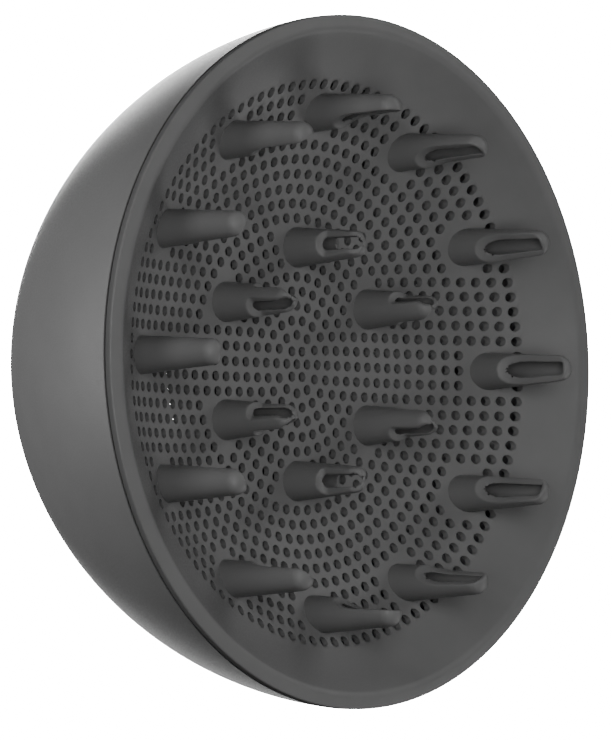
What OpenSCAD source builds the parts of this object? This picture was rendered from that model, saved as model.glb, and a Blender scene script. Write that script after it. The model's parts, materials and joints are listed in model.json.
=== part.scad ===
// Bowl diffuser for a hair dryer: a deep shell, a dished and perforated front moulding with
// hollow prongs, a liner, an air spreader, and a magnetic socket that swivels in the neck.
// +Z runs along the air's path, from the rear mouth (z = 0) to the prongs.

/* [Bowl] */
// Outer diameter of the rim
rim_d = 152.3; // [150:0.1:156]
// Wall of the outer bowl
bowl_wall = 2; // [1.8:0.1:2.2]
// Outer radius of the rear neck
neck_r = 27.4; // [27.2:0.1:27.6]
// Height of the grille's flat centre above the rear mouth
plate_z = 58.25; // [57:0.25:60]

/* [Perforation] */
// Rings of holes around the centre hole
ring_count = 19; // [17:1:19]
// Radius of the outermost ring of holes
holes_r = 61.3; // [60.5:0.1:61.5]
// Diameter of each hole
hole_d = 2.2; // [1.6:0.05:2.2]
// Thickness of the flat centre
plate_t = 1.6; // [1.4:0.1:2]
// Free radius around a prong's axis, without holes
bare_r = 6; // [5.6:0.1:6.2]

/* [Prongs] */
// Number of outer prongs
outer_count = 12; // [6:6:12]
// Radius of the circle of outer prongs
outer_r = 55.3; // [54:0.1:55.5]
// Height of the outer prongs' tips above the flat centre
outer_h = 30.4; // [28:0.1:33]
// Number of inner prongs
inner_count = 6; // [3:3:6]
// Radius of the circle of inner prongs
inner_r = 25.8; // [25:0.1:26.5]
// Height of the inner prongs' tips above the flat centre
inner_h = 20.5; // [19:0.1:23]
// Diameter of an outer prong at its root
outer_root_d = 8.4; // [8.2:0.1:8.8]
// Diameter of an inner prong at its root
inner_root_d = 8.9; // [8.4:0.1:9]
// Prong diameter where its domed tip starts
tip_d = 5.7; // [5.6:0.05:5.8]
// Wall of an outer prong at its tip; the inner prongs' wall is half as thick there
prong_wall = 1.3; // [1.2:0.05:1.4]

/* [Coupling] */
// Diameter of the socket for the dryer's outlet
socket_d = 44; // [43:0.5:44]
// Outer radius of the coupling's sleeve
sleeve_r = 24; // [24:0.05:24.1]
// Radial running clearance of the swivel
swivel_gap = 0.06; // [0.04:0.01:0.08]
// Number of magnets
magnet_count = 8; // [4:4:8]
// Diameter of each magnet
magnet_d = 3.9; // [3:0.1:4]

/* [Hidden] */
$fn = 64;
rim_r = rim_d / 2;

// Dished front: rise of the surface from the flat centre's edge outwards
flat_r = 34.87;
dish_slope = 0.232;
dish_bend = 0.0013;
dish_curl = 0.000148;
function beyond_flat(r) = max(0, r - flat_r);
function dish(r) = plate_z + dish_slope * beyond_flat(r)
    + dish_bend * pow(beyond_flat(r), 2) + dish_curl * pow(beyond_flat(r), 3);
pitch = holes_r / ring_count;
disc_rings = floor((flat_r - 1.2) / pitch);
disc_r = (disc_rings + 0.5) * pitch;
perforated_r = (ring_count + 0.5) * pitch;

// Rim: a flat lip outside a rounded crest, and a short side band over the seam
lip_w = 3.3;
crest_r = rim_r - lip_w;
lip_z = dish(crest_r) - 0.15;
band_h = 2.05;
seam_h = 0.8;
band_z = lip_z - band_h;
bowl_z = band_z - seam_h;
rim_back_t = 1.8;
landing_r = rim_r - 7.3;
skirt_r = rim_r - 3.2;
skirt_t = 1.4;
skirt_h = 5.7;
landing_z = band_z - 3.2;
hook_count = 8;
hook_w = 10;
hook_z = bowl_z - 3.9;
hook_reach = 0.8;
hook_h = 1;
hook_groove_r = skirt_r - 2.8;
bumper_h = 1.2;
bumper_tongue_h = 1.8;
tongue_in_r = neck_r - 1.4;
tongue_out_r = neck_r - 0.6;

// Bowl: a large arc from the seam, then a shoulder arc to the flat around the neck
bowl_arc_r = 91.4;
bowl_arc_z = bowl_z + 9.5;
bowl_arc_c = rim_r - 0.05 - sqrt(pow(bowl_arc_r, 2) - pow(bowl_arc_z - bowl_z, 2));
shoulder_a = 48;
shoulder_r = 20;
shoulder_c = bowl_arc_c + (bowl_arc_r - shoulder_r) * cos(shoulder_a);
shoulder_z = bowl_arc_z - (bowl_arc_r - shoulder_r) * sin(shoulder_a);
floor_z = shoulder_z - shoulder_r;
neck_fillet = 3;
neck_wall = 2;
neck_bore_r = neck_r - neck_wall;
seat_z = floor_z + bowl_wall;

// Stack inside the neck, from the seat upwards
post_r = 37;
post_out_r = 3.2;
post_hole_r = 1.25;
post_h = 3.8;
post_z = seat_z + post_h;
wall_in_r = 29;
wall_out_r = 32.4;
foot_out_r = 41;
clamp_hole_r = 1.35;
clamp_screw_r = 1.2;
seal_in_r = 27.5;
seal_out_r = 29;
base_z = seat_z + 2;
washer_t = 0.8;
flange_z = base_z + washer_t + 0.1;
flange_r = 28.4;
flange_t = 2;
wall_z = post_z + 2;
keeper_z = wall_z + 2;
keeper_screw_r = 30.7;
keeper_bore_r = 0.95;
foot_z = wall_z + 1.2;
frame_z = foot_z + 1.2;

// Coupling
socket_r = socket_d / 2;
mouth_gap = 0.6;
ledge_z = base_z - 1.3;
duct_r = 18.5;
coupling_z = flange_z + flange_t;
magnet_h = 2.9;
pocket_h = 3;
ring_r = 21.2;
yoke_t = 0.8;
cover_t = 1.5;
cover_screws_count = 4;
cover_hole_r = 0.9;
socket_seal_t = 0.8;
socket_seal_in_r = duct_r + 1;
socket_seal_out_r = socket_r - 0.5;

// Liner and spreader
liner_gap = 3;
liner_t = 1.2;
liner_top = bowl_z - 3.4;
liner_seal_in_r = rim_r - 7;
liner_seal_out_r = rim_r - 5;
hub_r = 6;
hub_z = frame_z + 9.5;
hub_h = 7;
arm_t = 2;
cone_r = 28;
cone_h = 10.2;
arm_turn = 15;
spreader_bore_r = 0.95;

// Prongs: the shallow dome of the tips, the bores' radii at root and tip, and how far an outer
// prong's root runs on below the dish
dome_r = 3.6;
dome_a = asin(tip_d / 2 / dome_r);
outer_bore = [outer_root_d / 2 - prong_wall - 0.25, tip_d / 2 - prong_wall];
inner_bore = [inner_root_d / 2 - prong_wall - 0.55, tip_d / 2 - prong_wall / 2];
outer_roof_t = 1;
inner_roof_t = 0.75;
prong_foot = 3.4;
bare_shift = 0.4;

// Cut-open sides, as parts of the prong's height and distances from its axis. The face leans
// in towards the axis, per unit of height, and leans more near an inner prong's tip.
cut_reach = 0.3;
outer_cut_start = 0.266;
outer_cut_sweep = 0.315;
outer_cut_face = 1.1;
outer_cut_lean = 0.045;
inner_cut_start = 0.444;
inner_cut_sweep = 0.081;
inner_cut_face = 1.9;
inner_cut_turn = 80;
inner_tip_cut_h = 2.75;
inner_tip_lean = 0.45;

// Radius, at height z, of the arc that lies "inset" inside the bowl's outer surface
function bowl_r(z, inset) =
    bowl_arc_c + sqrt(pow(bowl_arc_r - inset, 2) - pow(bowl_arc_z - z, 2));

// Points of the bowl's arc at the given inset, from height z down to the shoulder
function bowl_arc(z, inset, steps) =
    let (r = bowl_arc_r - inset, a0 = asin((bowl_arc_z - z) / r))
    [for (i = [0:steps]) let (a = a0 + (shoulder_a - a0) * i / steps)
        [bowl_arc_c + r * cos(a), bowl_arc_z - r * sin(a)]];

// Points of the shoulder's arc at the given inset, down to where it lies flat
function shoulder_arc(inset, steps) =
    [for (i = [1:steps]) let (a = shoulder_a + (90 - shoulder_a) * i / steps)
        [shoulder_c + (shoulder_r - inset) * cos(a), shoulder_z - (shoulder_r - inset) * sin(a)]];

function neck_fillet_points() =
    [for (a = [0:30:90]) [neck_r + neck_fillet * (1 - sin(a)), floor_z - neck_fillet * (1 - cos(a))]];

function backwards(points) = [for (i = [len(points) - 1:-1:0]) points[i]];

module ring(r_in, r_out, z, h) {
    translate([0, 0, z]) difference() {
        cylinder(r = r_out, h = h);
        translate([0, 0, -1]) cylinder(r = r_in, h = h + 2);
    }
}

// Repeats its child around the axis, at radius r
module around(count, r, start = 0) {
    for (i = [0:count - 1]) rotate(start + i * 360 / count) translate([r, 0, 0]) children();
}

// Pan-head screw with a hexagonal recess; z is the underside of its head
module screw(head_r, head_h, shank_r, shank_l, z) {
    translate([0, 0, z]) difference() {
        union() {
            cylinder(r = head_r, h = head_h);
            translate([0, 0, -shank_l]) cylinder(r = shank_r, h = shank_l + 0.1);
        }
        translate([0, 0, head_h / 2]) cylinder(r = head_r / 2, h = head_h, $fn = 6);
    }
}

// Tapered round bar with a shallow domed end; r_low is its radius at z_low
module spike(r_low, z_low, z_tip) {
    rotate_extrude() polygon(concat(
        [[0, z_low], [r_low, z_low]],
        [for (i = [0:5]) let (a = dome_a * (1 - i / 6))
            [dome_r * sin(a), z_tip - dome_r * (1 - cos(a))]],
        [[0, z_tip]]
    ));
}

// Tapered bore with a flat, bevelled end; radii holds its radius at z_low and at z_top
module bore(radii, z_low, z_top) {
    bevel = 0.8;
    rotate_extrude() polygon([
        [0, z_low - 2], [radii[0], z_low - 2], [radii[0], z_low], [radii[1], z_top - bevel],
        [radii[1] - bevel, z_top], [0, z_top]
    ]);
}

// Prism that cuts a prong's side open: it sweeps in from radius "reach" at z_low to distance
// "face" from the axis at z_high, then leans in, and from z_tip on leans in more
module side_cut(face, reach, z_low, z_high, z_tip, z_top, lean, tip_lean) {
    tip_face = face - lean * (z_tip - z_high);
    rotate([90, 0, 0]) linear_extrude(height = 12, center = true) polygon(concat(
        [for (a = [90:-15:0])
            [reach - (reach - face) * cos(a), z_high - (z_high - z_low) * sin(a)]],
        [[tip_face, z_tip], [tip_face - tip_lean * (z_top - z_tip), z_top], [reach, z_top]]
    ));
}

// Outer prong, cut open on the side that faces the middle
module outer_prong() {
    root_z = dish(outer_r);
    tip_z = plate_z + outer_h;
    h = tip_z - root_z;
    difference() {
        spike(outer_root_d / 2, root_z - prong_foot, tip_z);
        bore(outer_bore, root_z - prong_foot, tip_z - outer_roof_t);
        rotate(180) side_cut(outer_cut_face, outer_root_d / 2 + cut_reach,
            root_z + outer_cut_start * h, root_z + (outer_cut_start + outer_cut_sweep) * h,
            tip_z - 1, tip_z + 1, outer_cut_lean, outer_cut_lean);
    }
}

// Inner prong, cut open on two sides
module inner_prong() {
    tip_z = plate_z + inner_h;
    difference() {
        spike(inner_root_d / 2, plate_z - plate_t, tip_z);
        bore(inner_bore, plate_z - plate_t, tip_z - inner_roof_t);
        for (a = [inner_cut_turn, -inner_cut_turn]) rotate(a)
            side_cut(inner_cut_face, inner_root_d / 2 + cut_reach,
                plate_z + inner_cut_start * inner_h,
                plate_z + (inner_cut_start + inner_cut_sweep) * inner_h,
                tip_z - inner_tip_cut_h, tip_z + 1, 0, inner_tip_lean);
    }
}

// Distance from a place to the nearest of a circle of prongs, and whether a hole there stays
// clear of every prong. The bare patches lie a little inwards of the outer prongs' axes.
function near(x, y, count, r, start) =
    min([for (i = [0:count - 1]) let (a = start + i * 360 / count)
        norm([x - r * cos(a), y - r * sin(a)])]);
function hole_is_free(x, y) =
    near(x, y, outer_count, outer_r - bare_shift, 0) > bare_r
    && near(x, y, inner_count, inner_r, 30) > bare_r;

module ring_holes(k) {
    n = 6 * k;
    for (i = [0:n - 1]) {
        x = k * pitch * cos(i * 360 / n);
        y = k * pitch * sin(i * 360 / n);
        if (hole_is_free(x, y)) translate([x, y]) circle(d = hole_d, $fn = 24);
    }
}

// Flat perforated centre
module centre_disc() {
    translate([0, 0, plate_z - plate_t]) linear_extrude(plate_t) difference() {
        circle(disc_r);
        circle(d = hole_d, $fn = 24);
        for (k = [1:disc_rings]) ring_holes(k);
        around(inner_count, inner_r, 30) circle(inner_root_d / 2 - 1);
    }
}

// One ring of the dish, drilled with its circle of holes
module dish_step(k) {
    top = dish(k * pitch);
    low = min(top - plate_t, dish((k - 1) * pitch) - plate_t * 0.6);
    translate([0, 0, low]) linear_extrude(top - low) difference() {
        circle((k + 0.5) * pitch);
        circle((k - 0.5) * pitch);
        ring_holes(k);
        around(outer_count, outer_r) circle(outer_root_d / 2 - 0.5);
    }
}

// Concave rim, crest, flat lip, side band, skirt and the landing for the liner's seal
module rim() {
    inner_edge = perforated_r;
    front = [for (i = [0:6]) let (r = inner_edge + (crest_r - 1 - inner_edge) * i / 6) [r, dish(r)]];
    back = [for (i = [4:-1:0]) let (r = inner_edge + (landing_r - 0.5 - inner_edge) * i / 4)
        [r, dish(r) - rim_back_t]];
    rotate_extrude() polygon(concat(
        front,
        [[crest_r, lip_z - 0.15], [crest_r + 1, lip_z], [rim_r - 0.5, lip_z],
            [rim_r - 0.15, lip_z - 0.15], [rim_r, lip_z - 0.5], [rim_r, band_z],
            [skirt_r, band_z], [skirt_r, band_z - skirt_h], [skirt_r - skirt_t, band_z - skirt_h],
            [skirt_r - skirt_t, landing_z], [landing_r, landing_z]],
        back
    ));
}

// Barbs on the skirt that snap into the bowl's groove
module hooks() {
    intersection() {
        ring(skirt_r - 0.5, skirt_r + hook_reach, hook_z, hook_h);
        around(hook_count, skirt_r, 22.5) translate([-4, -hook_w / 2, hook_z]) cube([8, hook_w, hook_h]);
    }
}

module front_grille() color("#3a3b3d") {
    centre_disc();
    for (k = [disc_rings + 1:ring_count]) dish_step(k);
    rim();
    hooks();
    around(outer_count, outer_r) outer_prong();
    around(inner_count, inner_r, 30) inner_prong();
}

module bowl_shell() color("#414244") difference() {
    union() {
        rotate_extrude() polygon(concat(
            bowl_arc(bowl_z, 0, 16),
            shoulder_arc(0, 6),
            neck_fillet_points(),
            [[neck_r, bumper_h], [neck_bore_r, bumper_h], [neck_bore_r, seat_z]],
            backwards(shoulder_arc(bowl_wall, 6)),
            backwards(bowl_arc(bowl_z, bowl_wall, 16))
        ));
        around(6, post_r, 30) translate([0, 0, seat_z - 0.3]) cylinder(r = post_out_r, h = post_h + 0.3);
    }
    around(6, post_r, 30) translate([0, 0, seat_z + 0.1]) cylinder(r = post_hole_r, h = 10);
    ring(hook_groove_r, skirt_r + hook_reach + 0.4, hook_z - 0.1, hook_h + 0.2);
    ring(tongue_in_r - 0.05, tongue_out_r + 0.05, 0, bumper_h + bumper_tongue_h + 0.1);
}

module rear_bumper() color("#1c1c1d") {
    ring(neck_r - 2.6, neck_r, 0, bumper_h);
    ring(tongue_in_r, tongue_out_r, bumper_h - 0.1, bumper_tongue_h + 0.1);
}

module seam_gasket() color("#101011") {
    ring(skirt_r + 0.2, rim_r - 0.8, bowl_z, seam_h);
}

module heat_shield() color("#8b8c8e") difference() {
    union() {
        ring(wall_out_r + 0.6, bowl_r(foot_z, bowl_wall + liner_gap) - 0.3, wall_z, foot_z - wall_z);
        rotate_extrude() polygon(concat(
            [for (i = [0:14]) let (z = liner_top + (wall_z - liner_top) * i / 14)
                [bowl_r(z, bowl_wall + liner_gap), z]],
            [for (i = [14:-1:0]) let (z = liner_top + (wall_z - liner_top) * i / 14)
                [bowl_r(z, bowl_wall + liner_gap + liner_t), z]]
        ));
    }
    around(6, post_r, 30) translate([0, 0, wall_z - 1]) cylinder(r = clamp_hole_r, h = 4);
}

module shield_seal() color("#5b2f2a") {
    ring(liner_seal_in_r, liner_seal_out_r, liner_top, landing_z - liner_top);
}

module swivel_housing() color("#2e2f31") difference() {
    union() {
        ring(sleeve_r + swivel_gap, neck_bore_r - 0.1, 3.5, seat_z - 3.4);
        ring(sleeve_r + swivel_gap, wall_out_r, seat_z, base_z - seat_z);
        ring(wall_in_r, wall_out_r, base_z - 0.1, wall_z - base_z + 0.1);
        ring(wall_out_r - 0.1, foot_out_r, post_z, wall_z - post_z);
    }
    ring(seal_in_r - 0.1, seal_out_r + 0.1, seat_z - 1, 1.8);
    around(6, post_r, 30) translate([0, 0, post_z - 1]) cylinder(r = clamp_hole_r, h = 4);
    around(6, keeper_screw_r) translate([0, 0, base_z + 0.9]) cylinder(r = keeper_bore_r, h = 6);
}

module housing_seal() color("#5b2f2a") {
    ring(seal_in_r, seal_out_r, seat_z, 0.75);
}

module housing_screws() color("#b9bbbe") {
    around(6, post_r, 30) screw(2.3, 1.5, clamp_screw_r, frame_z - seat_z - 0.3, frame_z);
}

module lower_slide_washer() color("#e4e1d6") {
    ring(sleeve_r + 0.5, 28.2, base_z, washer_t);
}

module upper_slide_washer() color("#e4e1d6") {
    ring(sleeve_r + 0.8, 28.6, wall_z - washer_t, washer_t);
}

module retaining_ring() color("#2e2f31") difference() {
    ring(sleeve_r + 0.8, wall_out_r, wall_z, keeper_z - wall_z);
    around(6, keeper_screw_r) translate([0, 0, wall_z - 1]) cylinder(r = keeper_bore_r + 0.1, h = 4);
}

module retaining_screws() color("#b9bbbe") {
    around(6, keeper_screw_r) screw(1.7, 1.2, 0.9, keeper_z - base_z - 1, keeper_z);
}

module spreader_arm() {
    rotate([90, 0, 0]) linear_extrude(height = arm_t, center = true) polygon([
        [33.8, foot_z], [36, foot_z], [36, frame_z + 1], [hub_r - 1, hub_z + hub_h - 1],
        [hub_r - 1, hub_z], [33.8, frame_z + 0.3]
    ]);
}

module spreader_frame() color("#2e2f31") difference() {
    union() {
        ring(33.4, 40.6, foot_z, frame_z - foot_z);
        for (i = [0:2]) rotate(arm_turn + i * 120) spreader_arm();
        translate([0, 0, hub_z]) cylinder(r = hub_r, h = hub_h);
    }
    around(6, post_r, 30) translate([0, 0, foot_z - 1]) cylinder(r = clamp_hole_r, h = 4);
    translate([0, 0, hub_z + 1]) cylinder(r = spreader_bore_r, h = hub_h);
}

module spreader_cone() color("#2e2f31") {
    z = hub_z + hub_h;
    rotate_extrude() polygon([
        [1.1, z], [hub_r + 1, z], [cone_r, z + cone_h], [cone_r + 0.4, z + cone_h + 0.8],
        [cone_r - 0.6, z + cone_h + 1.2], [hub_r + 0.6, z + 1.5], [1.1, z + 1.5]
    ]);
}

module spreader_screw() color("#b9bbbe") {
    screw(1.8, 1.3, 0.9, hub_h, hub_z + hub_h + 1.5);
}

module coupling_ring() color("#242526") difference() {
    union() {
        translate([0, 0, mouth_gap]) cylinder(r = sleeve_r, h = coupling_z - mouth_gap);
        translate([0, 0, flange_z]) cylinder(r = flange_r, h = flange_t);
    }
    translate([0, 0, -1]) cylinder(r = socket_r, h = ledge_z + 1);
    translate([0, 0, mouth_gap - 0.01]) cylinder(r1 = socket_r + 0.9, r2 = socket_r, h = 1);
    translate([0, 0, ledge_z - 1]) cylinder(r = duct_r, h = 10);
    ring(socket_seal_in_r - 0.05, socket_seal_out_r + 0.05, ledge_z - 0.1, socket_seal_t + 0.1);
    around(magnet_count, ring_r)
        translate([0, 0, coupling_z - pocket_h]) cylinder(d = magnet_d + 0.1, h = 5);
    around(cover_screws_count, ring_r, 22.5)
        translate([0, 0, coupling_z - 2.8]) cylinder(r = 0.85, h = 5);
}

module socket_seal() color("#5b2f2a") {
    ring(socket_seal_in_r, socket_seal_out_r, ledge_z + 0.1, socket_seal_t - 0.1);
}

module magnets() color("#c9cbd0") {
    around(magnet_count, ring_r)
        translate([0, 0, coupling_z - pocket_h]) cylinder(d = magnet_d, h = magnet_h);
}

module yoke_ring() color("#9ea1a6") difference() {
    ring(duct_r + 0.4, sleeve_r - 0.2, coupling_z, yoke_t);
    around(cover_screws_count, ring_r, 22.5)
        translate([0, 0, coupling_z - 1]) cylinder(r = cover_hole_r, h = 4);
}

module magnet_cover() color("#242526") difference() {
    ring(duct_r + 0.2, sleeve_r, coupling_z + yoke_t, cover_t);
    around(cover_screws_count, ring_r, 22.5)
        translate([0, 0, coupling_z]) cylinder(r = cover_hole_r, h = 4);
}

module cover_screws() color("#b9bbbe") {
    around(cover_screws_count, ring_r, 22.5)
        screw(1.5, 1, 0.8, yoke_t + cover_t + 2.6, coupling_z + yoke_t + cover_t);
}

bowl_shell();
rear_bumper();
front_grille();
seam_gasket();
heat_shield();
shield_seal();
swivel_housing();
housing_seal();
housing_screws();
lower_slide_washer();
upper_slide_washer();
retaining_ring();
retaining_screws();
spreader_frame();
spreader_cone();
spreader_screw();
coupling_ring();
socket_seal();
magnets();
yoke_ring();
magnet_cover();
cover_screws();
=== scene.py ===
"""Looks of the bowl diffuser: the moulded front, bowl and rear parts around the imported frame.

Lengths are in millimetres and are turned into metres where a mesh is built. The lights, the
camera and the frame are in metres."""

import json
import math

import bpy
import numpy as np
from mathutils import Matrix, Vector
from mathutils.geometry import delaunay_2d_cdt


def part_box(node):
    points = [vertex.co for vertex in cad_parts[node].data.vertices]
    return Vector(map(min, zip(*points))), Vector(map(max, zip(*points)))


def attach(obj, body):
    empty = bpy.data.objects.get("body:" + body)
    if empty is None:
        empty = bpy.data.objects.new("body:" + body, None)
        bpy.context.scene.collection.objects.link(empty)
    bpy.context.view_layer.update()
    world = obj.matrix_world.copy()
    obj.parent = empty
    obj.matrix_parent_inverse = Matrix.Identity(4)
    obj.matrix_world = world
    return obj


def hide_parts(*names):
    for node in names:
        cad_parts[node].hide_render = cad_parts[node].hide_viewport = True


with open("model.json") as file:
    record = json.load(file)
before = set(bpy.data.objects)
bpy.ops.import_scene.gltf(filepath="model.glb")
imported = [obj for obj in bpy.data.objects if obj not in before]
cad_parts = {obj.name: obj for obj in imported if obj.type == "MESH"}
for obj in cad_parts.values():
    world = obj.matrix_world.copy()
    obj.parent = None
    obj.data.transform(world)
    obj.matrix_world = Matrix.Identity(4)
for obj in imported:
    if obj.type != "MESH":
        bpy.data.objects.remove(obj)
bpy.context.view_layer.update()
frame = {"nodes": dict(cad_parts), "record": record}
nodes = frame["nodes"]
MM = 0.001

# ---------------------------------------------------------------- sizes
PLATE_Z = 58.25
FLAT_R = 34.87
FLAT_EASE = 3.0
PLATE_T = 1.6

HOLE_R = 1.09
HOLE_EDGE = 0.04
HOLES_R = 61.3
RINGS = 19
PITCH = HOLES_R / RINGS
PERFORATED_R = (RINGS + 0.5) * PITCH
HOLE_COUNT = 1 + 3 * RINGS * (RINGS + 1)
EDGE_COUNT = 6 * (2 * RINGS + 1)
BARE_R = 6.0

DOME_R = 3.6
PRONG_STEP = (0.28, 0.44)


def dish(r):
    """Height of the dished front at radius r."""
    d = np.asarray(r, float) - FLAT_R
    x = np.where(d > FLAT_EASE, d, np.where(d < -FLAT_EASE, 0.0, (d + FLAT_EASE) ** 2 / (4 * FLAT_EASE)))
    return PLATE_Z + 0.232 * x + 0.0013 * x**2 + 0.000148 * x**3


RIM_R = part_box("front_grille")[1][0] / MM
CREST_R = RIM_R - 3.3
LIP_Z = float(dish(CREST_R)) - 0.15
LIP_DROP = 0.5
BAND_Z = LIP_Z - 2.05
SEAM_Z = BAND_Z - 0.8
GAP = 0.4

NECK_R = 27.4
NECK_END_Z = 1.2
BOWL_WALL = 2.0
BOWL_ARC_R, SHOULDER_R, SHOULDER_A = 91.4, 20.0, 48.0
BOWL_ARC_Z = SEAM_Z + 9.5
BOWL_ARC_C = RIM_R - 0.05 - math.sqrt(BOWL_ARC_R**2 - (BOWL_ARC_Z - SEAM_Z) ** 2)
SHOULDER_C = BOWL_ARC_C + (BOWL_ARC_R - SHOULDER_R) * math.cos(math.radians(SHOULDER_A))
SHOULDER_Z = BOWL_ARC_Z - (BOWL_ARC_R - SHOULDER_R) * math.sin(math.radians(SHOULDER_A))
FLOOR_Z = SHOULDER_Z - SHOULDER_R


# ---------------------------------------------------------------- materials
def material(name, base, rough, bump=0.06, mottle=0.06, metallic=0.0, specular=0.5, streak=None):
    """Moulded or metal finish: colour mottling, grain bump and uneven roughness from noise."""
    mat = bpy.data.materials.new(name)
    mat.use_nodes = True
    tree = mat.node_tree
    shader = next(n for n in tree.nodes if n.type == "BSDF_PRINCIPLED")
    shader.inputs["Metallic"].default_value = metallic
    shader.inputs["Specular IOR Level"].default_value = specular
    coords = tree.nodes.new("ShaderNodeTexCoord")
    place = tree.nodes.new("ShaderNodeMapping")
    if streak:
        place.inputs["Scale"].default_value = streak
    tree.links.new(coords.outputs["Object"], place.inputs["Vector"])

    def noise(scale, detail):
        n = tree.nodes.new("ShaderNodeTexNoise")
        n.inputs["Scale"].default_value = scale
        n.inputs["Detail"].default_value = detail
        tree.links.new(place.outputs["Vector"], n.inputs["Vector"])
        return n.outputs["Fac"]

    cloud = noise(95.0, 3.0)
    grain = noise(2600.0, 2.0)
    ramp = tree.nodes.new("ShaderNodeValToRGB")
    for stop, position, tint in zip(ramp.color_ramp.elements, (0.3, 0.7), (1 - mottle, 1 + mottle)):
        stop.position = position
        stop.color = (*(c * tint for c in base), 1)
    tree.links.new(cloud, ramp.inputs["Fac"])
    tree.links.new(ramp.outputs["Color"], shader.inputs["Base Color"])
    span = tree.nodes.new("ShaderNodeMapRange")
    limits = {"From Min": 0.3, "From Max": 0.7, "To Min": rough - 0.08, "To Max": rough + 0.08}
    for limit, value in limits.items():
        span.inputs[limit].default_value = value
    tree.links.new(grain, span.inputs["Value"])
    tree.links.new(span.outputs["Result"], shader.inputs["Roughness"])
    bumps = tree.nodes.new("ShaderNodeBump")
    bumps.inputs["Strength"].default_value = bump
    bumps.inputs["Distance"].default_value = 0.0002
    tree.links.new(grain, bumps.inputs["Height"])
    tree.links.new(bumps.outputs["Normal"], shader.inputs["Normal"])
    return mat


FINISHES = {
    "shell_plastic": dict(base=(0.052, 0.052, 0.052), rough=0.46, bump=0.10, mottle=0.03, specular=0.045),
    "grille_plastic": dict(base=(0.094, 0.094, 0.094), rough=0.5, bump=0.08, mottle=0.04, specular=0.15),
    "soft_rubber": dict(base=(0.018, 0.018, 0.019), rough=0.72, bump=0.12, specular=0.35),
    "liner_plastic": dict(base=(0.22, 0.22, 0.225), rough=0.55),
    "seal_silicone": dict(base=(0.16, 0.045, 0.032), rough=0.5, bump=0.05),
    "inner_plastic": dict(base=(0.045, 0.045, 0.048), rough=0.58, bump=0.14),
    "screw_steel": dict(base=(0.55, 0.55, 0.57), rough=0.3, metallic=1.0, mottle=0.1, streak=(1, 1, 6)),
    "slide_plastic": dict(base=(0.72, 0.70, 0.64), rough=0.4, bump=0.03),
    "coupling_plastic": dict(base=(0.04, 0.04, 0.042), rough=0.5, bump=0.1),
    "magnet_nickel": dict(base=(0.65, 0.65, 0.67), rough=0.16, metallic=1.0, mottle=0.04, bump=0.02),
    "yoke_steel": dict(base=(0.5, 0.5, 0.52), rough=0.34, metallic=1.0, mottle=0.12, streak=(6, 1, 1)),
}
MATERIALS = {slot: material(slot, **finish) for slot, finish in FINISHES.items()}


for subpart in frame["record"]["subparts"]:
    slots = nodes[subpart["node"]].data.materials
    for i in range(len(slots)):
        slots[i] = MATERIALS[subpart["material_slot"]]


# ---------------------------------------------------------------- meshes
SHARP_ANGLE = math.radians(30)


def build(name, verts, faces, slot, node, soft_from=None):
    """A smooth-shaded piece of the diffuser body, from millimetre vertices, which stands for a
    CAD node. Edges are sharp where the surface turns by more than SHARP_ANGLE, except from
    vertex soft_from onwards."""
    mesh = bpy.data.meshes.new(name)
    mesh.from_pydata((np.asarray(verts, float) * MM).tolist(), [], faces)
    mesh.validate()
    mesh.shade_smooth()
    mesh.set_sharp_from_angle(angle=SHARP_ANGLE)
    if soft_from is not None:
        ends = np.zeros(len(mesh.edges) * 2, int)
        mesh.edges.foreach_get("vertices", ends)
        soft = ends.reshape(-1, 2).min(1) >= soft_from
        flags = np.zeros(len(mesh.edges), bool)
        mesh.attributes["sharp_edge"].data.foreach_get("value", flags)
        mesh.attributes["sharp_edge"].data.foreach_set("value", flags & ~soft)
    mesh.materials.append(MATERIALS[slot])
    obj = bpy.data.objects.new(name, mesh)
    bpy.context.scene.collection.objects.link(obj)
    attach(obj, "diffuser")
    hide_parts(node)
    return obj


class Parts:
    """Vertices and faces of several closed shells that become one object."""

    def __init__(self):
        self.verts, self.faces, self.count = [], [], 0

    def add(self, verts, faces):
        self.faces += [tuple(i + self.count for i in f) for f in faces]
        self.verts.append(np.asarray(verts, float))
        self.count += len(verts)

    def all_verts(self):
        return np.concatenate(self.verts)


def rounded(points, steps=4):
    """Closed outline from (r, z) or (r, z, corner radius) points, with its corners rounded."""
    out = []
    n = len(points)
    for i, p in enumerate(points):
        here = np.array(p[:2], float)
        radius = p[2] if len(p) > 2 else 0.0
        if radius <= 0:
            out.append(here)
            continue
        a = np.array(points[i - 1][:2], float) - here
        b = np.array(points[(i + 1) % n][:2], float) - here
        la, lb = np.linalg.norm(a), np.linalg.norm(b)
        a, b = a / la, b / lb
        half = math.acos(max(-1.0, min(1.0, float(a @ b)))) / 2
        run = min(radius / math.tan(half), 0.49 * la, 0.49 * lb)
        radius = run * math.tan(half)
        centre = here + (a + b) / np.linalg.norm(a + b) * radius / math.sin(half)
        first, last = here + a * run - centre, here + b * run - centre
        turn = math.pi - 2 * half
        for k in range(steps + 1):
            t = k / steps
            w = (math.sin((1 - t) * turn) * first + math.sin(t * turn) * last) / math.sin(turn)
            out.append(centre + w)
    return np.array(out)


def lathe(outline, count):
    """Vertices and faces of a closed (r, z) outline turned round the axis."""
    outline = np.asarray(outline, float)
    x, y = outline[:, 0], outline[:, 1]
    if float(np.sum(x * np.roll(y, -1) - np.roll(x, -1) * y)) < 0:
        outline = outline[::-1]
    n = len(outline)
    ang = np.arange(count) * 2 * math.pi / count
    verts = np.stack([
        np.outer(np.cos(ang), outline[:, 0]).ravel(),
        np.outer(np.sin(ang), outline[:, 0]).ravel(),
        np.tile(outline[:, 1], count),
    ], 1)
    faces = []
    for s in range(count):
        t = (s + 1) % count
        for i in range(n):
            j = (i + 1) % n
            faces.append((s * n + i, t * n + i, t * n + j, s * n + j))
    return verts, faces


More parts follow.
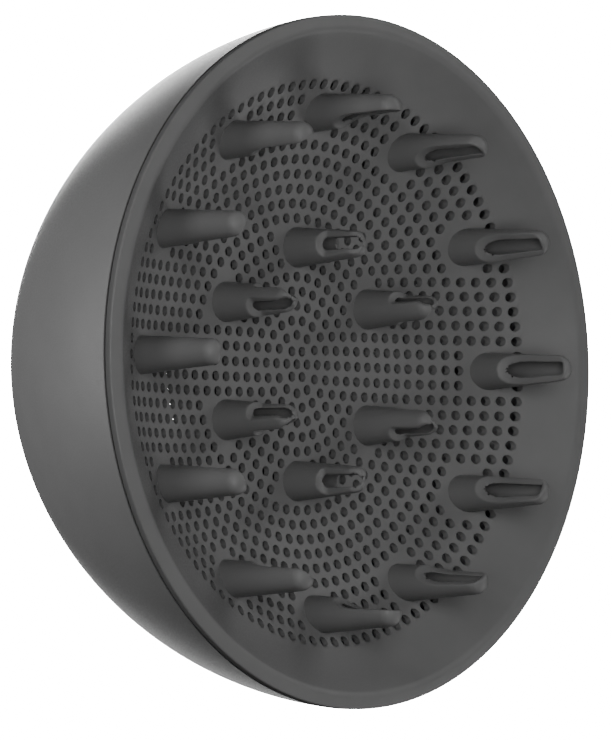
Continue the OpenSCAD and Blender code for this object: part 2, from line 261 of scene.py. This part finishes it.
def turned(verts, degrees):
    a = math.radians(degrees)
    c, s = math.cos(a), math.sin(a)
    v = np.asarray(verts, float)
    return np.stack([c * v[:, 0] - s * v[:, 1], s * v[:, 0] + c * v[:, 1], v[:, 2]], 1)


# ---------------------------------------------------------------- prongs, from a distance field
def round_cut(a, b, r):
    """Distance to what two shapes share, with the edge between them rounded to radius r."""
    return np.minimum(-r, np.maximum(a, b)) + np.hypot(np.maximum(r + a, 0), np.maximum(r + b, 0))


def oval(x, y, a, b):
    """Distance to an ellipse with half axes a and b."""
    g = np.maximum(np.hypot(x / a, y / b), 1e-6)
    return (g - 1) * g / np.maximum(np.hypot(x / a**2, y / b**2), 1e-6)


def spike(rho, z, r_low, r_high, z_end):
    """Distance to a tapered round bar with a shallow dome; r_low is its radius at z = 0 and
    r_high its radius where the dome begins."""
    z_dome = z_end - DOME_R + math.sqrt(DOME_R**2 - r_high**2)
    slope = (r_low - r_high) / z_dome
    side = (rho - (r_low - slope * z)) / math.hypot(1, slope)
    flank = np.sqrt(np.maximum(DOME_R**2 - rho**2, 0.2))
    dome = (z - z_end + DOME_R - flank) * flank / DOME_R
    return round_cut(side, dome, 0.6)


def bore(rho, z, r_low, r_high, z_end, arch):
    """Distance to a tapered bore whose closed end is arched over the given height."""
    return oval(rho, np.maximum(z - z_end + arch, 0), r_low - (r_low - r_high) * z / z_end, arch)


def side_cut(u, z, face, reach, z_low, z_high, lean=0.0, z_tip=0.0, tip_lean=0.0):
    """Distance outside the space that a prong's side is cut back by: it sweeps in from
    radius reach at z_low, leans in towards the axis from z_high up, and more from z_tip."""
    tip = (z - z_tip + np.hypot(z - z_tip, 0.5)) / 2
    u = u + lean * np.maximum(z - z_high, 0) + tip_lean * tip
    return -oval(np.maximum(reach - u, 0), np.maximum(z_high - z, 0), reach - face, z_high - z_low)


class Prong:
    """One hollow prong at (centre_r, 0) on the dish, with z measured from its root.

    root_r and tip_r are its radii at the root and below the dome. bore_r holds the bore's
    radii at the root and at its end, which lies roof below the tip and has an arch of the
    given height. The prong's wall goes down to foot. turns holds the directions in which
    its sides are cut open, in degrees, and cut the other values of side_cut."""

    def __init__(self, centre_r, tip, root_r, tip_r, bore_r, roof, arch, foot, turns, cut):
        self.centre_r = centre_r
        self.root_z = float(dish(centre_r))
        self.height = tip - self.root_z
        self.root_r, self.tip_r = root_r, tip_r
        self.bore_r, self.roof, self.arch, self.foot = bore_r, roof, arch, foot
        self.turns, self.cut = turns, cut

    def field(self, x, y, z):
        rho = np.hypot(x, y)
        solid = spike(rho, z, self.root_r, self.tip_r, self.height)
        hollow = bore(rho, z, *self.bore_r, self.height - self.roof, self.arch)
        for turn in self.turns:
            u = x * math.cos(math.radians(turn)) + y * math.sin(math.radians(turn))
            solid = round_cut(solid, side_cut(u, z, reach=self.root_r + 0.35, **self.cut), 0.14)
        return np.maximum(round_cut(solid, -hollow, 0.16), self.foot - z)

    def mesh(self, step):
        """step is the sampling distance across and along the prong."""
        reach = self.root_r + 0.3 + 2 * step[0]
        xs = np.arange(-reach, reach + step[0], step[0])
        zs = np.arange(self.foot - 2 * step[1], self.height + 2 * step[1], step[1])
        verts, faces = surface_net(self.field, (xs, xs, zs))
        return verts + np.array([self.centre_r, 0, self.root_z]), faces


def slope_of(field, p):
    """Unit gradient of a distance field at points p."""
    eps = 0.01
    x, y, z = p.T
    g = np.stack([
        field(x + eps, y, z) - field(x - eps, y, z),
        field(x, y + eps, z) - field(x, y - eps, z),
        field(x, y, z + eps) - field(x, y, z - eps),
    ], 1)
    return g / np.maximum(np.linalg.norm(g, axis=1, keepdims=True), 1e-9)


def surface_net(field, grid):
    """Quad mesh of the surface where the field changes sign. Each grid cell's vertex sits
    where the surface's tangent planes meet, so that edges stay crisp."""
    f = field(*np.meshgrid(*grid, indexing="ij"))
    inside = f < 0
    corners = [(i, j, k) for i in (0, 1) for j in (0, 1) for k in (0, 1)]

    def corner(a, c):
        return a[tuple(slice(o, a.shape[d] - 1 + o) for d, o in enumerate(c))]

    filled = sum(corner(inside, c).astype(int) for c in corners)
    mixed = (filled > 0) & (filled < 8)
    cells = np.argwhere(mixed)
    index = -np.ones(mixed.shape, int)
    index[mixed] = np.arange(len(cells))
    origin = np.array([g[0] for g in grid])
    size = np.array([g[1] - g[0] for g in grid])
    low = origin + cells * size
    count = np.zeros(len(cells))
    middle, rhs, planes = np.zeros((len(cells), 3)), np.zeros((len(cells), 3)), np.zeros((len(cells), 3, 3))
    for c in corners:
        for axis in range(3):
            if c[axis]:
                continue
            e = list(c)
            e[axis] = 1
            fa, fb = corner(f, c)[mixed], corner(f, tuple(e))[mixed]
            hit = np.nonzero((fa < 0) != (fb < 0))[0]
            place = np.array(c, float) + np.zeros((len(hit), 3))
            place[:, axis] += fa[hit] / (fa[hit] - fb[hit])
            place = low[hit] + place * size
            n = slope_of(field, place)
            np.add.at(planes, hit, n[:, :, None] * n[:, None, :])
            np.add.at(rhs, hit, n * (n * place).sum(1, keepdims=True))
            np.add.at(middle, hit, place)
            np.add.at(count, hit, 1)
    middle /= count[:, None]
    pull = 0.04
    verts = np.linalg.solve(planes + pull * np.eye(3), (rhs + pull * middle)[:, :, None])[:, :, 0]
    verts = np.clip(verts, low, low + size)
    faces = []
    for axis in range(3):
        u, v = (axis + 1) % 3, (axis + 2) % 3
        a = inside[tuple(slice(0, inside.shape[d] - (d == axis)) for d in range(3))]
        b = inside[tuple(slice(int(d == axis), None) for d in range(3))]
        for place in np.argwhere(a != b):
            if place[u] == 0 or place[v] == 0:
                continue
            quad = []
            for du, dv in ((0, 0), (1, 0), (1, 1), (0, 1)):
                q = place.copy()
                q[u] -= du
                q[v] -= dv
                quad.append(int(index[tuple(q)]))
            if min(quad) < 0:
                continue
            faces.append(tuple(quad[::-1] if not a[tuple(place)] else quad))
    return verts, faces


# ---------------------------------------------------------------- front moulding
def lattice():
    """Points on rings, 6k on ring k and one ring past the holes, and the triangles between
    them. Triangles past the last ring of holes have their place in the order round the edge."""
    points, ids = [(0.0, 0.0)], {(0, 0): 0}
    for k in range(1, RINGS + 2):
        for i in range(6 * k):
            a = 2 * math.pi * i / (6 * k)
            ids[(k, i)] = len(points)
            points.append((k * PITCH * math.cos(a), k * PITCH * math.sin(a)))

    def side(k, s):
        return [ids[(k, (s * k + j) % max(6 * k, 1))] for j in range(k + 1)]

    tris = []
    for s in range(6):
        for k in range(RINGS + 1):
            near, far = side(k, s), side(k + 1, s)
            strip = [(near[j], far[j], far[j + 1], 2 * j) for j in range(k + 1)]
            strip += [(near[j], far[j + 1], near[j + 1], 2 * j + 1) for j in range(k)]
            for a, b, c, m in strip:
                tris.append((a, b, c, s * (2 * RINGS + 1) + m if k == RINGS else None))
    return np.array(points), tris


def edge_circle(r):
    """Points of a circle that has one point for each cell corner on the plate's edge."""
    ang = 2 * math.pi * (np.arange(EDGE_COUNT) + 0.5) / EDGE_COUNT
    return np.column_stack([r * np.cos(ang), r * np.sin(ang)])


def plate_cells():
    """The plate as one cell round each hole: the holes' centres, all the cells' corners,
    each cell's corners in order, and the corners on the plate's edge in order."""
    points, tris = lattice()
    on_edge = edge_circle(PERFORATED_R)
    corners, around, edge = [], {}, {}
    for a, b, c, place in tris:
        here = len(corners)
        if place is None:
            corners.append(tuple((points[a] + points[b] + points[c]) / 3))
        else:
            corners.append(tuple(on_edge[place]))
            edge[place] = here
        for p in (a, b, c):
            around.setdefault(p, []).append(here)
    centres = points[:HOLE_COUNT]
    rings = []
    for p, (x, y) in enumerate(centres):
        rings.append(sorted(around[p], key=lambda c: math.atan2(corners[c][1] - y, corners[c][0] - x)))
    return centres, corners, rings, [edge[m] for m in range(EDGE_COUNT)]


def cross2(a, b, c):
    return (b[0] - a[0]) * (c[1] - a[1]) - (b[1] - a[1]) * (c[0] - a[0])


def ordered(edges):
    """Vertices of a closed loop of edges, in order."""
    links = {}
    for a, b in edges:
        links.setdefault(a, []).append(b)
        links.setdefault(b, []).append(a)
    start = edges[0][0]
    loop, last, here = [start], None, start
    while True:
        nxt = [v for v in links[here] if v != last][0]
        if nxt == start:
            return loop
        loop.append(nxt)
        last, here = here, nxt


def inside(outline, p):
    """Whether a point lies inside a closed outline."""
    x, y = outline[:, 0], outline[:, 1]
    x2, y2 = np.roll(x, -1), np.roll(y, -1)
    crosses = (y > p[1]) != (y2 > p[1])
    at = x + (p[1] - y) * (x2 - x) / np.where(crosses, y2 - y, 1)
    return bool(np.sum(crosses & (p[0] < at)) % 2)


def neighbours(loop):
    """Pairs of points that follow each other in a closed loop."""
    return list(zip(loop, loop[1:] + loop[:1]))


def band(a, b):
    """Quads between two closed loops with as many points."""
    return [(a0, b0, b1, a1) for (a0, a1), (b0, b1) in zip(neighbours(a), neighbours(b))]


class Sheet:
    """Points and triangles of the plate's top, seen from above."""

    def __init__(self, xy):
        self.xy, self.faces = list(xy), []

    def circle(self, centre, r, count, first=0.0):
        """Adds a circle's points, from the angle first, and returns their numbers."""
        start = len(self.xy)
        for q in range(count):
            a = first + 2 * math.pi * q / count
            self.xy.append((centre[0] + r * math.cos(a), centre[1] + r * math.sin(a)))
        return list(range(start, len(self.xy)))

    def punched_cell(self, centre, ring):
        """Fills a cell round its hole. Returns the hole's first angle and its edge's points."""
        segs = 4
        half = segs // 2
        first = math.atan2(self.xy[ring[0]][1] - centre[1], self.xy[ring[0]][0] - centre[0])
        hole = self.circle(centre, HOLE_R + HOLE_EDGE, len(ring) * segs, first)
        for m, (c, d) in enumerate(neighbours(ring)):
            at = [hole[(m * segs + q) % len(hole)] for q in range(segs + 1)]
            self.faces += [(c, at[q + 1], at[q]) for q in range(half)]
            self.faces.append((c, d, at[half]))
            self.faces += [(d, at[q + 1], at[q]) for q in range(half, segs)]
        return first, hole

    def prong_foot(self, cells, axis, opening_r):
        """Fills the cells round a prong, apart from the opening inside it. cells holds each
        one's centre and corners. Returns the opening's points."""
        times = {}
        for _, ring in cells:
            for c, d in neighbours(ring):
                key = (min(c, d), max(c, d))
                times[key] = times.get(key, 0) + 1
        loop = [edge for edge, n in times.items() if n == 1]
        on_loop = {v for edge in loop for v in edge}
        ids = [v for v in sorted({v for edge in times for v in edge})
               if v in on_loop or math.dist(self.xy[v], axis) > opening_r + 0.5]
        opening = self.circle(axis, opening_r, 32)
        ids += opening
        for centre, _ in cells:
            if math.dist(centre, axis) > opening_r + 0.6:
                ids.append(len(self.xy))
                self.xy.append(tuple(centre))
        number = {v: n for n, v in enumerate(ids)}
        edges = [(number[a], number[b]) for a, b in loop + neighbours(opening)]
        _, _, tris, origins, *_ = delaunay_2d_cdt([Vector(self.xy[v]) for v in ids], edges, [], 0, 1e-5)
        outline = np.array([self.xy[v] for v in ordered(loop)])
        for tri in tris:
            face = tuple(ids[origins[v][0]] for v in tri)
            middle = np.mean([self.xy[v] for v in face], axis=0)
            if math.dist(middle, axis) >= opening_r and inside(outline, middle):
                self.faces.append(face)
        return opening

    def faces_up(self):
        """Its triangles, all counterclockwise."""
        return [f if cross2(*(self.xy[v] for v in f)) > 0 else f[::-1] for f in self.faces]


def front_plate(prong_rings):
    """Vertices and faces of the perforated dish with its rim: top, back, the wall of every
    hole and the lathed rim."""
    feet = []
    for prong, count, start, bare_shift, opening_r in prong_rings:
        for i in range(count):
            a = math.radians(start + 360 * i / count)
            out = np.array((math.cos(a), math.sin(a)))
            feet.append((prong.centre_r * out, (prong.centre_r - bare_shift) * out, opening_r, []))
    centres, corners, rings, edge = plate_cells()
    sheet = Sheet(corners)
    holes = []
    for centre, ring in zip(centres, rings):
        owners = [cells for _, bare, _, cells in feet if math.dist(centre, bare) <= BARE_R]
        if owners:
            owners[0].append((centre, ring))
        else:
            holes.append((centre, *sheet.punched_cell(centre, ring)))
    openings = [sheet.prong_foot(cells, axis, opening_r) for axis, _, opening_r, cells in feet]

    top_xy = np.array(sheet.xy)
    top_z = dish(np.hypot(top_xy[:, 0], top_xy[:, 1]))
    verts = [np.column_stack([top_xy, top_z]), np.column_stack([top_xy, top_z - PLATE_T])]
    top = sheet.faces_up()
    total = 2 * len(top_xy)

    def below(loop):
        return [v + len(top_xy) for v in loop]

    faces = top + [tuple(below(f[::-1])) for f in top]
    for centre, first, hole in holes:
        ang = first + 2 * math.pi * np.arange(len(hole)) / len(hole)
        wall_xy = np.column_stack([centre[0] + HOLE_R * np.cos(ang), centre[1] + HOLE_R * np.sin(ang)])
        verts.append(np.column_stack([wall_xy, dish(np.hypot(wall_xy[:, 0], wall_xy[:, 1])) - HOLE_EDGE]))
        wall = list(range(total, total + len(hole)))
        faces += band(wall, hole) + band(below(hole), wall)
        total += len(hole)
    for opening in openings:
        faces += band(below(opening), opening)

    last = edge
    for r, z in rim_outline():
        verts.append(np.column_stack([edge_circle(r), np.full(EDGE_COUNT, z)]))
        here = list(range(total, total + EDGE_COUNT))
        faces += band(last, here)
        last = here
        total += EDGE_COUNT
    faces += band(last, below(edge))
    used = sorted({v for f in faces for v in f})
    number = {v: n for n, v in enumerate(used)}
    return np.concatenate(verts)[used], [tuple(number[v] for v in f) for f in faces]


def rim_outline():
    """(r, z) points from the last ring of cells out over the rim and back under it."""
    def under(r, thickness):
        return (r, float(dish(r)) - thickness)

    dished = [under(r, 0) for r in np.linspace(PERFORATED_R, CREST_R - 2.0, 10)[1:]]
    lip = [under(CREST_R - 2.0, 0), (CREST_R + 0.05, LIP_Z + 0.1, 2.2), (RIM_R, LIP_Z - LIP_DROP, 0.45),
           (RIM_R, BAND_Z, 0.14), (RIM_R - 2.0, BAND_Z)]
    skirt_r, hook_r, lining_r = RIM_R - 3.2, RIM_R - 2.5, RIM_R - 4.6
    skirt_z, landing_z = BAND_Z - 5.7, BAND_Z - 3.2
    skirt = [(RIM_R - 0.6, BAND_Z), (skirt_r, BAND_Z, 0.2), (skirt_r, BAND_Z - 2.9),
             (hook_r, BAND_Z - 3.5, 0.15), (hook_r, BAND_Z - 4.4, 0.15), (skirt_r, BAND_Z - 4.9),
             (skirt_r, skirt_z, 0.2), (lining_r, skirt_z, 0.2), (lining_r, landing_z, 0.2),
             (RIM_R - 7.3, landing_z, 0.3), (*under(RIM_R - 7.8, 1.8), 0.3), under(PERFORATED_R + 0.8, 1.6)]
    return [tuple(p) for p in (*dished, *rounded(lip, 6)[1:-1], *rounded(skirt, 3)[:-1])]


outer = Prong(centre_r=55.3, tip=88.6, root_r=4.2, tip_r=2.85, bore_r=(2.65, 1.48), roof=0.85,
              arch=0.55, foot=-3.4, turns=[180],
              cut={"face": 1.1, "z_low": 5.9, "z_high": 13.9, "lean": 0.045})
inner = Prong(centre_r=25.8, tip=78.7, root_r=4.45, tip_r=2.85, bore_r=(2.3, 2.2), roof=0.3,
              arch=3.0, foot=-PLATE_T, turns=[80, -80],
              cut={"face": 1.9, "z_low": 9.2, "z_high": 10.9, "z_tip": 17.8, "tip_lean": 0.55})

# Each ring's prong, number of prongs and first angle, how far the patch without holes lies
# inside the prongs' circle, and the radius of the plate's opening under a prong
PRONG_RINGS = [(outer, 12, 0, 0.4, 3.6), (inner, 6, 30, 0.0, 3.7)]

front = Parts()
front.add(*front_plate(PRONG_RINGS))
plate_verts = front.count
for prong, count, start, *_ in PRONG_RINGS:
    verts, faces = prong.mesh(PRONG_STEP)
    for i in range(count):
        front.add(turned(verts, start + 360 * i / count), faces)
build("front_moulding", front.all_verts(), front.faces, "grille_plastic", "front_grille",
      soft_from=plate_verts)


# ---------------------------------------------------------------- bowl and rear parts
def bowl_outline():
    """(r, z) outline of the bowl's wall with its neck: an arc, a tighter shoulder, a flat
    floor and the neck, and back up inside at BOWL_WALL from the first three."""
    seam = math.asin((BOWL_ARC_Z - SEAM_Z) / BOWL_ARC_R)
    side = np.linspace(seam + 0.004, math.radians(SHOULDER_A), 48)
    shoulder = np.radians(np.linspace(SHOULDER_A, 90, 20))[1:]
    outer_wall = [(BOWL_ARC_C + BOWL_ARC_R * math.cos(t), BOWL_ARC_Z - BOWL_ARC_R * math.sin(t))
                  for t in side]
    outer_wall += [(SHOULDER_C + SHOULDER_R * math.cos(t), SHOULDER_Z - SHOULDER_R * math.sin(t))
                   for t in shoulder]
    inner_wall = [(r - BOWL_WALL * math.cos(t), z + BOWL_WALL * math.sin(t))
                  for (r, z), t in zip(outer_wall, (*side, *shoulder))]
    inner_z = FLOOR_Z + BOWL_WALL
    neck = rounded([(SHOULDER_C, FLOOR_Z), (NECK_R, FLOOR_Z, 3.0), (NECK_R, NECK_END_Z, 0.15),
                    (NECK_R - 2, NECK_END_Z, 0.15), (NECK_R - 2, inner_z, 0.2), (SHOULDER_C, inner_z)], 8)
    edge = BAND_Z - GAP
    rim = [(RIM_R - 2.0, edge), (RIM_R - 0.2, edge), (RIM_R - 0.08, edge - 0.05), (RIM_R - 0.02, edge - 0.16)]
    return [*rim[1:], *outer_wall, *map(tuple, neck[1:-1]), *inner_wall[::-1], rim[0]]


bowl = build("bowl", *lathe(bowl_outline(), 256), "shell_plastic", "bowl_shell")

bumper_outline = rounded([
    (NECK_R - 2.6, NECK_END_Z, 0.1), (NECK_R - 2.6, 0, 0.45), (NECK_R, 0, 0.45),
    (NECK_R, NECK_END_Z, 0.1), (NECK_R - 0.6, NECK_END_Z), (NECK_R - 0.6, 3.0, 0.2),
    (NECK_R - 1.4, 3.0, 0.2), (NECK_R - 1.4, NECK_END_Z)])
bumper = build("end_bumper", *lathe(bumper_outline, 160), "soft_rubber", "rear_bumper")

gasket_outline = rounded([
    (RIM_R - 2.9, SEAM_Z), (RIM_R - 0.8, SEAM_Z, 0.2), (RIM_R - 0.8, BAND_Z, 0.2), (RIM_R - 2.9, BAND_Z)])
build("seam_ring", *lathe(gasket_outline, 234), "soft_rubber", "seam_gasket")


# ---------------------------------------------------------------- stage, lights and camera
HALF_FLOOR = 6.0
floor_mesh = bpy.data.meshes.new("floor")
floor_corners = [(x * HALF_FLOOR, y * HALF_FLOOR, 0) for x, y in ((-1, -1), (1, -1), (1, 1), (-1, 1))]
floor_mesh.from_pydata(floor_corners, [], [(0, 1, 2, 3)])
floor = bpy.data.objects.new("floor", floor_mesh)
bpy.context.scene.collection.objects.link(floor)
paper = bpy.data.materials.new("paper")
paper.use_nodes = True
sheet = next(n for n in paper.node_tree.nodes if n.type == "BSDF_PRINCIPLED")
sheet.inputs["Base Color"].default_value = (0.9, 0.9, 0.9, 1)
sheet.inputs["Roughness"].default_value = 0.9
sheet.inputs["Emission Color"].default_value = (1, 1, 1, 1)
sheet.inputs["Emission Strength"].default_value = 30.0
floor.data.materials.append(paper)
# The floor is white paper for the camera only, so that all of the light comes from the lamps
floor.visible_diffuse = False
floor.visible_glossy = False
floor.visible_transmission = False
floor.visible_shadow = False

world = bpy.data.worlds.new("studio")
bpy.context.scene.world = world
world.use_nodes = True
world.node_tree.nodes["Background"].inputs["Color"].default_value = (1, 1, 1, 1)
world.node_tree.nodes["Background"].inputs["Strength"].default_value = 0.02

LIGHT_AIM = Vector((0, 0, 0.06))
LIGHT_DISTANCE = 0.85
LIGHT_SIZE = (0.42, 0.30)


def direction(azimuth, elevation):
    """Unit vector towards a direction given in degrees."""
    az, el = math.radians(azimuth), math.radians(elevation)
    return Vector((math.cos(el) * math.cos(az), math.cos(el) * math.sin(az), math.sin(el)))


def softbox(azimuth, elevation, power):
    """A soft rectangular light that points at the bowl from the given direction."""
    data = bpy.data.lights.new("softbox", "AREA")
    data.shape = "RECTANGLE"
    data.size, data.size_y = LIGHT_SIZE
    data.energy = power
    obj = bpy.data.objects.new("softbox", data)
    bpy.context.scene.collection.objects.link(obj)
    away = direction(azimuth, elevation)
    obj.location = LIGHT_AIM + away * LIGHT_DISTANCE
    obj.rotation_euler = away.to_track_quat("Z", "Y").to_euler()
    obj.visible_camera = False
    return obj


for light in ((180, 60, 4.9), (180, 36, 2.0), (30, 36, 2.0), (330, 22, 2.2), (150, 4, 2.7)):
    softbox(*light)

# Light that a white table would throw back up at the outside of the bowl
outside = bpy.data.collections.new("outside")
for obj in (bowl, bumper, nodes["coupling_ring"]):
    outside.objects.link(obj)
for light in ((150, -40, 5.5), (180, -48, 11.6), (30, -48, 8.8), (330, -48, 1.5)):
    softbox(*light).light_linking.receiver_collection = outside

CAMERA_TARGET = Vector((-0.00347, -0.00158, 0.06432))
CAMERA_AZIMUTH, CAMERA_ELEVATION = -176.444, 43.829
CAMERA_DISTANCE = 1.9316
LENS = 427.7

view = direction(CAMERA_AZIMUTH, CAMERA_ELEVATION)
right = Vector((0, 1, 0)).cross(view).normalized()
up = view.cross(right)
camera_data = bpy.data.cameras.new("camera")
camera_data.lens = LENS
camera_data.sensor_width = 36
camera_data.clip_end = 50
camera = bpy.data.objects.new("camera", camera_data)
bpy.context.scene.collection.objects.link(camera)
turn = Matrix((right, up, view)).transposed().to_4x4()
camera.matrix_world = Matrix.Translation(CAMERA_TARGET + view * CAMERA_DISTANCE) @ turn
bpy.context.scene.camera = camera
